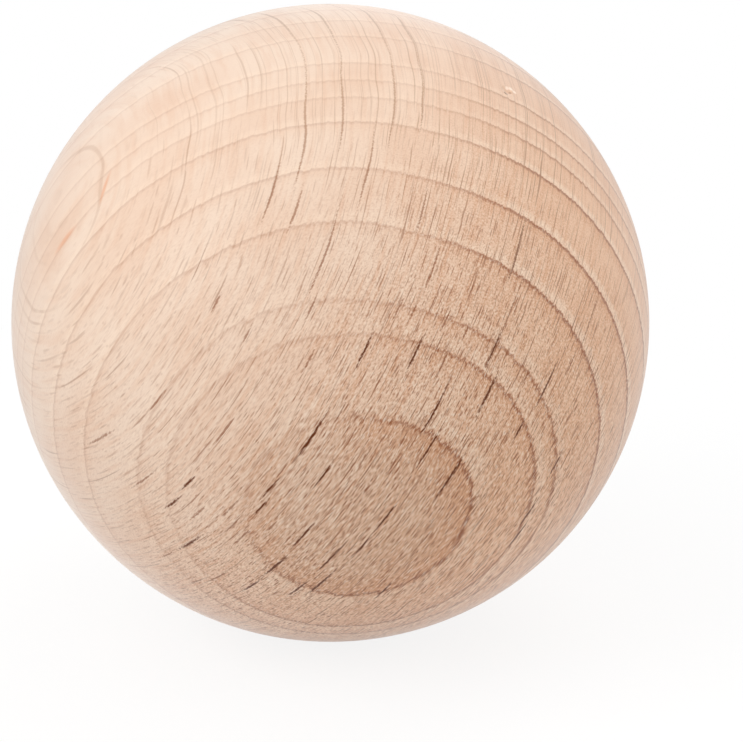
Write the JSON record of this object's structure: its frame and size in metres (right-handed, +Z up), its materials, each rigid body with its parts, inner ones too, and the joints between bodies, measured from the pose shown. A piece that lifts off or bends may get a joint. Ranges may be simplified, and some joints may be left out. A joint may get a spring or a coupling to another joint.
{
  "type": "wooden ball",
  "caption": "Solid turned ball of plain unfinished beech, for crafts, finials, toys and desk use.",
  "frame": {"origin": "centre of the ball", "axes": "+Z up as the ball lies in the picture, camera looking along +Y and 20 degrees down; the turning axis leans 35 degrees from +Z, 22 degrees from +X towards -Y"},
  "size_m": [0.075, 0.075, 0.075],
  "materials": {
    "beech": "bare sanded beech with ray flecks and growth rings, no lacquer"
  },
  "bodies": {
    "root": {"ball": "beech"}
  },
  "joints": []
}
